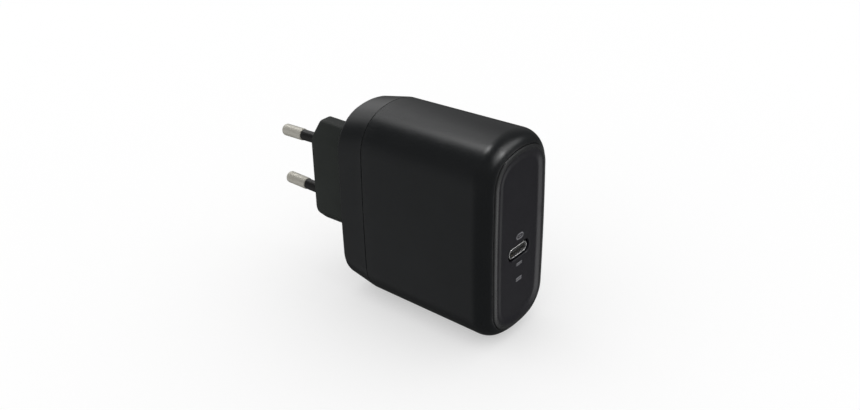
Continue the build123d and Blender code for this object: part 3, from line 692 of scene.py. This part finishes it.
# ---- finishes: node building --------------------------------------------------------
class Wire:
    """An output socket; arithmetic on it adds Math nodes to its tree."""

    def __init__(self, tree, socket):
        self.tree, self.socket = tree, socket

    def maths(self, operation, *others):
        """A Math node's operation on this socket, and on others after it."""
        values = dict(enumerate((self, *others)))
        return add_node(self.tree, "Math", {"operation": operation}, values)

    def __add__(self, other):
        return self.maths("ADD", other)

    def __sub__(self, other):
        return self.maths("SUBTRACT", other)

    def __rsub__(self, other):
        return add_node(self.tree, "Math", {"operation": "SUBTRACT"}, {0: other, 1: self})

    def __mul__(self, other):
        return self.maths("MULTIPLY", other)

    def __pow__(self, other):
        return self.maths("POWER", other)

    __radd__, __rmul__ = __add__, __mul__


def add_node(tree, kind, settings=None, inputs=None, output=0):
    """Any shader node: its settings first, then the values or links of its sockets."""
    made = tree.nodes.new("ShaderNode" + kind)
    for label, value in (settings or {}).items():
        setattr(made, label, value)
    for key, value in (inputs or {}).items():
        if isinstance(value, Wire):
            tree.links.new(value.socket, made.inputs[key])
        else:
            made.inputs[key].default_value = value
    return Wire(tree, made.outputs[output])


class Finish:
    """One material: a Principled shader, and short ways to the patterns that vary over it."""

    def __init__(self, name, **fixed):
        self.material = bpy.data.materials.new(name)
        self.material.use_nodes = True
        self.tree = self.material.node_tree
        self.shader = self.tree.nodes["Principled BSDF"]
        for label, value in fixed.items():
            self.shader.inputs[label.replace("_", " ")].default_value = value
        self.place = self.node("TexCoord", output="Object")

    def node(self, kind, settings=None, inputs=None, output=0):
        return add_node(self.tree, kind, settings, inputs, output)

    def feed(self, **wires):
        for label, wire in wires.items():
            self.tree.links.new(wire.socket, self.shader.inputs[label.replace("_", " ")])

    def noise(self, size, detail=3.0, rough=0.55, stretch=(1, 1, 1), shift=(0, 0, 0)):
        """Noise from 0 to 1 whose lumps are about size millimetres, drawn out by stretch."""
        scale = [1 / (size * MM * s) for s in stretch]
        moved = self.node("Mapping", None, {
            "Vector": self.place, "Scale": scale, "Location": shift,
        })
        return self.node("TexNoise", None, {
            "Vector": moved, "Scale": 1.0, "Detail": detail, "Roughness": rough,
        })

    def cells(self, size, feature="F1"):
        """Distances in a pattern of cells about size millimetres across."""
        moved = self.node("Mapping", None, {"Vector": self.place, "Scale": [1 / (size * MM)] * 3})
        return self.node("TexVoronoi", {"feature": feature}, {"Vector": moved, "Scale": 1.0},
                         "Distance")

    def ramp(self, value, low, high):
        """0 where value is low and 1 where it is high, smoothly, and held outside."""
        return self.node("MapRange", {"interpolation_type": "SMOOTHSTEP"}, {
            "Value": value, "From Min": low, "From Max": high,
        })

    def mixed(self, share, first, second):
        """Two colours, or colour wires, mixed by a share from 0 to 1."""
        first = first if isinstance(first, Wire) else (*first, 1)
        second = second if isinstance(second, Wire) else (*second, 1)
        return self.node("Mix", {"data_type": "RGBA"}, {0: share, 6: first, 7: second}, 2)

    def bumped(self, height, depth, **under):
        """A normal pressed by height, from 0 to 1, over depth millimetres; Normal= is pressed too."""
        return self.node("Bump", None, {
            "Height": height, "Distance": depth * MM, "Strength": 1.0, **under,
        })

    def worn(self):
        """The piece's own record of where its edges are handled, 0 where it has none."""
        return self.node("Attribute", {"attribute_name": "edge"}, output="Fac")


def moulded(name, tone, rubbed, gloss=0.3, grain=0.16, depth=0.006, specular=0.5):
    """Satin moulded plastic: spark-eroded grain, slow flow mottle, finger smudges, rubbed edges."""
    finish = Finish(name, Specular_IOR_Level=specular)
    fine = finish.noise(grain, 2.0, 0.6)
    pits = finish.cells(grain * 1.7)
    mottle = finish.noise(14.0, 3.0, 0.5)
    smudge = finish.ramp(finish.noise(7.0, 4.0, 0.62, (1, 1.7, 0.8), (3, 1, 2)), 0.48, 0.72)
    specks = finish.ramp(finish.noise(0.42, 1.0, 0.5, shift=(5, 7, 1)), 0.74, 0.8)
    rub = finish.worn() * finish.ramp(finish.noise(1.1, 4.0, 0.7, shift=(9, 2, 4)), 0.35, 0.7)
    colour = finish.mixed(mottle, [c * 0.82 for c in tone], [c * 1.18 for c in tone])
    colour = finish.mixed(rub * 0.5, colour, rubbed)
    colour = finish.mixed(specks * 0.25, colour, [c * 2.2 for c in rubbed])
    roughness = gloss + (fine - 0.5) * 0.1 + smudge * 0.07 - rub * 0.05 + (mottle - 0.5) * 0.05
    grained = finish.bumped(fine * 0.6 + pits * 0.4, depth)
    finish.feed(Base_Color=colour, Roughness=roughness,
                Normal=finish.bumped(mottle, 0.02, Normal=grained))
    return finish.material


def panel_finish():
    """Fine matt panel whose rim is left smoother and greyer by the edge attribute."""
    finish = Finish("panel_plastic", Specular_IOR_Level=0.42)
    fine = finish.noise(0.13, 2.0, 0.6)
    mottle = finish.noise(11.0, 3.0, 0.5, shift=(4, 4, 4))
    smudge = finish.ramp(finish.noise(5.0, 4.0, 0.62, (1, 1, 1.6), (2, 8, 5)), 0.5, 0.74)
    rim = finish.worn()
    colour = finish.mixed(mottle, (0.0074, 0.0072, 0.01), (0.01, 0.0098, 0.013))
    grey = finish.mixed(fine, (0.014, 0.0145, 0.015), (0.022, 0.0225, 0.023))
    colour = finish.mixed(rim, colour, grey)
    roughness = 0.29 + (fine - 0.5) * 0.1 - rim * 0.04 + smudge * 0.05
    finish.feed(Base_Color=colour, Roughness=roughness,
                Normal=finish.bumped(fine + finish.cells(0.22) * 0.5, 0.005))
    return finish.material


def nickel_finish():
    """Satin nickel plate: drawn lines along the pin, rubbed streaks, faint warm tarnish."""
    finish = Finish("pin_metal", Metallic=0.45)
    drawn = finish.noise(0.09, 3.0, 0.6, (1, 26, 1))
    streak = finish.ramp(finish.noise(0.5, 3.0, 0.6, (1, 9, 1), (3, 3, 3)), 0.4, 0.75)
    tarnish = finish.noise(2.6, 4.0, 0.6, shift=(6, 1, 8))
    colour = finish.mixed(tarnish, (0.5, 0.48, 0.42), (0.6, 0.585, 0.53))
    colour = finish.mixed(streak * 0.35, colour, (0.36, 0.335, 0.28))
    roughness = 0.26 + drawn * 0.16 + streak * 0.1
    finish.feed(Base_Color=colour, Roughness=roughness, Normal=finish.bumped(drawn, 0.004))
    return finish.material


def plain_metal(name, bright, dull, gloss, lines=(1, 1, 1), grain=0.12, metallic=1.0):
    """Sheet metal: rolling or drawing lines, cloudy tarnish and a fine tooth."""
    finish = Finish(name, Metallic=metallic)
    tooth = finish.noise(grain, 3.0, 0.6, lines)
    cloud = finish.noise(3.5, 4.0, 0.6, shift=(2, 5, 3))
    colour = finish.mixed(cloud, dull, bright)
    roughness = gloss + (tooth - 0.5) * 0.18 + (cloud - 0.5) * 0.12
    finish.feed(Base_Color=colour, Roughness=roughness, Normal=finish.bumped(tooth, 0.004))
    return finish.material


def potted(name, low, high, gloss, grain, depth, size=2.0):
    """Cast, pressed or coated stuff: two tones in soft clouds over a pebbled surface."""
    finish = Finish(name)
    pebble = finish.noise(grain, 3.0, 0.6)
    cloud = finish.noise(size, 4.0, 0.55, shift=(7, 3, 1))
    colour = finish.mixed(cloud * 0.7 + pebble * 0.3, low, high)
    roughness = gloss + (pebble - 0.5) * 0.16 + (cloud - 0.5) * 0.1
    finish.feed(Base_Color=colour, Roughness=roughness, Normal=finish.bumped(pebble, depth))
    return finish.material


def wound(name, wire, gap, pitch, axis, metallic):
    """Turns side by side: a rounded stripe every pitch millimetres along one axis, with the gap
    colour painted into the groove between turns as painted shade.
    """
    finish = Finish(name, Metallic=metallic)
    along = finish.node("SeparateXYZ", None, {0: finish.place}, "XYZ".index(axis))
    wave = (along * (2 * math.pi / (pitch * MM))).maths("SINE")
    crown = (wave * 0.5 + 0.5) ** 0.6
    tint = finish.noise(0.8, 3.0, 0.5)
    # Painted shade: the gap colour darkens the groove between turns, where the turns would shade each
    # other.
    colour = finish.mixed(crown, gap, finish.mixed(tint, [c * 0.85 for c in wire], wire))
    finish.feed(Base_Color=colour, Roughness=0.42 - crown * 0.15 + (tint - 0.5) * 0.1,
                Normal=finish.bumped(crown, pitch * 0.3))
    return finish.material


def board_finish():
    """Solder mask over glass-epoxy: tracks under the mask, weave print-through, bare pads."""
    finish = Finish("board", Specular_IOR_Level=0.5)
    weave = finish.cells(0.45)
    tracks = finish.ramp(finish.cells(4.2, "DISTANCE_TO_EDGE"), 0.06, 0.1)
    pads = finish.ramp(finish.cells(2.6), 0.14, 0.11)
    mottle = finish.noise(6.0, 3.0, 0.5)
    colour = finish.mixed(tracks, (0.012, 0.075, 0.035), (0.02, 0.13, 0.06))
    colour = finish.mixed(mottle * 0.3, colour, (0.03, 0.16, 0.08))
    colour = finish.mixed(pads, colour, (0.55, 0.56, 0.56))
    finish.feed(Base_Color=colour, Metallic=pads * 0.8, Roughness=0.3 + weave * 0.1 + pads * 0.08,
                Normal=finish.bumped(tracks + weave * 0.3, 0.03))
    return finish.material


case_plastic = moulded("case_plastic", (0.0066, 0.0076, 0.0084), (0.03, 0.031, 0.031))
plug_plastic = moulded("plug_plastic", (0.0218, 0.0243, 0.0225), (0.038, 0.04, 0.038), 0.36,
                       0.2, 0.008, specular=0.11)
FINISHES = {
    "case_plastic": case_plastic,
    "plug_plastic": plug_plastic,
    "sleeve_plastic": moulded("sleeve_plastic", (0.01, 0.01, 0.01), (0.02, 0.02, 0.02), 0.34),
    "panel_plastic": panel_finish(),
    "pin_metal": nickel_finish(),
    "usb_steel": plain_metal("usb_steel", (0.9, 0.9, 0.9), (0.8, 0.8, 0.8), 0.26, (1, 14, 1),
                             metallic=0.94),
    "tongue_plastic": potted("tongue_plastic", (0.014, 0.014, 0.015), (0.024, 0.024, 0.025),
                             0.42, 0.12, 0.008),
    "contact_gold": plain_metal("contact_gold", (0.86, 0.64, 0.3), (0.74, 0.53, 0.22), 0.26),
    "board": board_finish(),
    "strip_brass": plain_metal("strip_brass", (0.74, 0.56, 0.27), (0.6, 0.43, 0.2), 0.34,
                               (1, 12, 1)),
    "ferrite": potted("ferrite", (0.045, 0.045, 0.05), (0.075, 0.075, 0.08), 0.62, 0.2, 0.02),
    "choke_ferrite": potted("choke_ferrite", (0.05, 0.14, 0.07), (0.11, 0.24, 0.13), 0.45,
                            0.4, 0.02),
    "bobbin_plastic": moulded("bobbin_plastic", (0.02, 0.02, 0.02), (0.05, 0.05, 0.05), 0.45),
    # The second colour of each winding is painted shade for the grooves between its turns.
    "winding_tape": wound("winding_tape", (0.78, 0.56, 0.07), (0.5, 0.34, 0.04), 2.4, "X", 0.0),
    "copper_wire": wound("copper_wire", (0.68, 0.3, 0.14), (0.2, 0.07, 0.03), 0.55, "Y", 0.85),
    "can_sleeve": potted("can_sleeve", (0.012, 0.012, 0.02), (0.022, 0.022, 0.034), 0.25,
                         0.5, 0.01, 5.0),
    "can_aluminium": plain_metal("can_aluminium", (0.8, 0.81, 0.83), (0.66, 0.67, 0.69), 0.32),
    "fuse_plastic": potted("fuse_plastic", (0.025, 0.022, 0.02), (0.05, 0.046, 0.04), 0.3,
                           0.25, 0.01),
    "box_plastic": potted("box_plastic", (0.56, 0.42, 0.08), (0.7, 0.54, 0.13), 0.32, 0.3, 0.01),
    "disc_ceramic": potted("disc_ceramic", (0.05, 0.16, 0.36), (0.09, 0.24, 0.48), 0.28,
                           0.5, 0.03),
    "barrier_film": potted("barrier_film", (0.74, 0.74, 0.68), (0.84, 0.84, 0.8), 0.22,
                           0.8, 0.01, 6.0),
    "chip_plastic": potted("chip_plastic", (0.02, 0.02, 0.021), (0.034, 0.034, 0.036), 0.5,
                           0.12, 0.01),
    "spreader_aluminium": plain_metal("spreader_aluminium", (0.76, 0.77, 0.78),
                                      (0.62, 0.63, 0.64), 0.36, (1, 1, 22)),
    "pad_rubber": potted("pad_rubber", (0.34, 0.37, 0.44), (0.46, 0.49, 0.56), 0.7, 0.25, 0.02),
}


# ---- light ----------------------------------------------------------------------------
DAYLIGHT = 1.0                         # what matt surfaces see, all round
ROOM = 0.055                           # what reflections see between the panels
BACK_PANEL = (161, 40, 27, 36, 11)     # turn, rise, half turn, half rise and fade, in degrees
BACK_LOW, BACK_HIGH = 0.57, 1.1        # its strength at the horizon and overhead
PANELS = [                             # the other panels, and the strength of each
    ((20, 50, 36, 14, 5), 2.2),        # high in front
    ((23, -20, 16, 30, 4), 0.55),      # low in front
    ((122, 30, 24, 30, 12), 0.13),     # beside the back panel
]
GLOWS = [                              # direction, full and faded angles, strength
    ((0.05, 0.37, 0.93), 3, 12, 7.2),
    ((0.28, -0.67, 0.68), 3, 9, 9.0),
    ((0.46, -0.73, -0.5), 4, 10, 1.3),
    ((0.67, -0.74, 0.08), 3, 10, 1.5),
    ((0.68, -0.45, 0.57), 3, 11, 2.4),
    ((0.88, 0.02, -0.47), 5, 17, 0.3),
    ((-0.6, 0.72, -0.4), 10, 42, 0.17),
    ((0.75, -0.45, -0.5), 10, 40, 0.04),
]


def glow(tree, direction, aim, inner, outer):
    """1 within inner degrees of a direction, falling smoothly to 0 at outer degrees."""
    towards = add_node(tree, "VectorMath", {"operation": "DOT_PRODUCT"}, {
        0: direction, 1: Vector(aim).normalized(),
    }, "Value")
    return add_node(tree, "MapRange", {"interpolation_type": "SMOOTHSTEP"}, {
        "Value": towards, "From Min": math.cos(math.radians(outer)),
        "From Max": math.cos(math.radians(inner)),
    })


def faded(tree, value, inner, outer):
    """1 where value is at most inner, falling smoothly to 0 at outer."""
    return add_node(tree, "MapRange", {"interpolation_type": "SMOOTHSTEP"}, {
        "Value": value, "From Min": outer, "From Max": inner,
    })


def pane(tree, direction, turn, rise, half_turn, half_rise, fade):
    """1 over a patch of sky round a direction, in degrees of turn and rise, fading at its rim.

    The turn away from the middle is the arc tangent of the direction's two
    level parts, across and along the middle's own heading.
    """
    heading, fade = math.radians(turn), math.radians(fade)
    headings = (
        (math.sin(heading), -math.cos(heading), 0), (math.cos(heading), math.sin(heading), 0),
    )
    along, aside = (
        add_node(tree, "VectorMath", {"operation": "DOT_PRODUCT"}, {0: direction, 1: axis}, "Value")
        for axis in headings
    )
    off = aside.maths("ARCTAN2", along).maths("ABSOLUTE")
    height = add_node(tree, "SeparateXYZ", None, {0: direction}, 2)
    lift = (height.maths("ARCSINE") - math.radians(rise)).maths("ABSOLUTE")
    wide, high = math.radians(half_turn), math.radians(half_rise)
    return faded(tree, off, wide - fade, wide + fade) * faded(tree, lift, high - fade, high + fade)


def make_sky():
    """Even pale light all round; in reflections, a dim room with soft panels and glows."""
    sky = bpy.data.worlds.new("studio")
    bpy.context.scene.world = sky
    sky.use_nodes = True
    tree = sky.node_tree
    direction = add_node(tree, "TexCoord", output="Generated")
    height = add_node(tree, "SeparateXYZ", None, {0: direction}, 2)
    lifted = add_node(tree, "MapRange", None, {"Value": height, "From Min": 0.0, "From Max": 1.0,
                                               "To Min": BACK_LOW, "To Max": BACK_HIGH})
    seen = pane(tree, direction, *BACK_PANEL) * lifted + ROOM
    for panel, strength in PANELS:
        seen = seen + pane(tree, direction, *panel) * strength
    for aim, inner, outer, strength in GLOWS:
        seen = seen + glow(tree, direction, aim, inner, outer) * strength
    glossy = add_node(tree, "LightPath", output="Is Glossy Ray")
    strength = glossy * seen + (1 - glossy) * DAYLIGHT
    background = tree.nodes["Background"]
    background.inputs["Color"].default_value = (1, 1, 1, 1)
    tree.links.new(strength.socket, background.inputs["Strength"])


make_sky()


# ---- floor ----------------------------------------------------------------------------
TABLE_REACH, TABLE_GAP = 8.0, 0.0002   # half its side, and how far below the object it lies
TABLE_GLOW = 0.44
table_z = CAD_BOX[0][2] - TABLE_GAP
table_mesh = bpy.data.meshes.new("table")
corners = [(-1, -1), (1, -1), (1, 1), (-1, 1)]
table_mesh.from_pydata(
    [(x * TABLE_REACH, y * TABLE_REACH, table_z) for x, y in corners], [], [(0, 1, 2, 3)]
)
table = bpy.data.objects.new("table", table_mesh)
bpy.context.scene.collection.objects.link(table)
table.visible_glossy = False
pale = Finish("pale_table", Roughness=0.9, Specular_IOR_Level=0.0, Emission_Strength=TABLE_GLOW)
cloud = pale.noise(400.0, 2.0, 0.5)
pale.feed(Base_Color=pale.mixed(cloud, (0.55, 0.55, 0.55), (0.57, 0.57, 0.57)))
pale.shader.inputs["Emission Color"].default_value = (1, 1, 1, 1)
table_mesh.materials.append(pale.material)

# ---- finishes on pieces -----------------------------------------------------------------
PRINT = potted("pale_print", (0.14, 0.14, 0.15), (0.21, 0.21, 0.225), 0.5, 0.15, 0.004)
slots = {part["node"]: part["material_slot"] for part in frame["record"]["subparts"]}
for label, node in frame["nodes"].items():
    for holder in node.material_slots:
        holder.material = FINISHES[slots[label]]
for piece in [*bpy.data.objects]:
    if piece.type == "MESH" and "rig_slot" in piece:
        piece.data.materials.append(PRINT if piece in marks else FINISHES[piece["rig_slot"]])
bpy.context.scene.view_settings.view_transform = "Standard"
